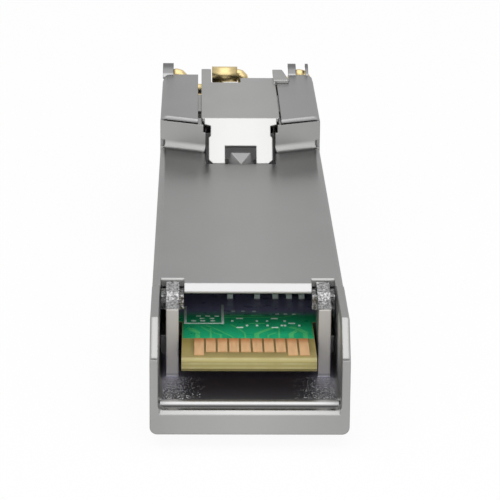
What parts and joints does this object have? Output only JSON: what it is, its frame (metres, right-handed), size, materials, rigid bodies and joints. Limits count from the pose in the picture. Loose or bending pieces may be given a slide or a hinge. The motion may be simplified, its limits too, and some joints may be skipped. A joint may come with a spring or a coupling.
{
  "type": "copper transceiver module",
  "caption": "Small pluggable transceiver with a die-cast body, a gold-padded board edge at one end, a modular jack at the other, and a wire bail that works a sliding latch release.",
  "frame": {"origin": "centre of the bounding box in plan, on the label face it rests on", "axes": "+Y from the board end to the jack end, +Z from the label face to the latch face, +X to the right seen from the board end"},
  "size_m": [0.0134, 0.0666, 0.0119],
  "materials": {
    "cast_metal": "satin",
    "sheet_metal": "satin",
    "actuator_metal": "satin",
    "bail_wire": "polished",
    "jack_plastic": "matte",
    "board": "gloss",
    "pad_gold": "satin",
    "contact_gold": "polished",
    "chip": "matte",
    "magnetics": "matte",
    "ferrite": "matte",
    "crystal_can": "satin",
    "chip_capacitor": "matte"
  },
  "bodies": {
    "module": {"housing_base": "cast_metal", "latch_cover": "cast_metal", "head_shield": "sheet_metal", "jack_body": "jack_plastic", "circuit_board": "board", "edge_pads_latch": "pad_gold", "edge_pads_label": "pad_gold", "phy_chip": "chip", "magnetics_1": "magnetics", "magnetics_2": "magnetics", "eeprom_chip": "chip", "power_inductor": "ferrite", "crystal": "crystal_can", "capacitors": "chip_capacitor", "contact_1": "contact_gold", "contact_2": "contact_gold", "contact_3": "contact_gold", "contact_4": "contact_gold", "contact_5": "contact_gold", "contact_6": "contact_gold", "contact_7": "contact_gold", "contact_8": "contact_gold"},
    "latch_slide": {"actuator": "actuator_metal"},
    "bail_lever": {"bail": "bail_wire"}
  },
  "joints": [
    {"name": "bail_hinge", "type": "hinge", "parent": "module", "child": "bail_lever", "pos_m": [0, 0.0325, 0.0095], "axis": [1, 0, 0], "range_deg": [0, 90]},
    {"name": "actuator_slide", "type": "slide", "parent": "module", "child": "latch_slide", "axis": [0, -1, 0], "range_m": [0, 0.0014]}
  ],
  "couplings": [
    {"joint": "bail_hinge", "follows": "actuator_slide", "rad_per_m": 1122}
  ]
}
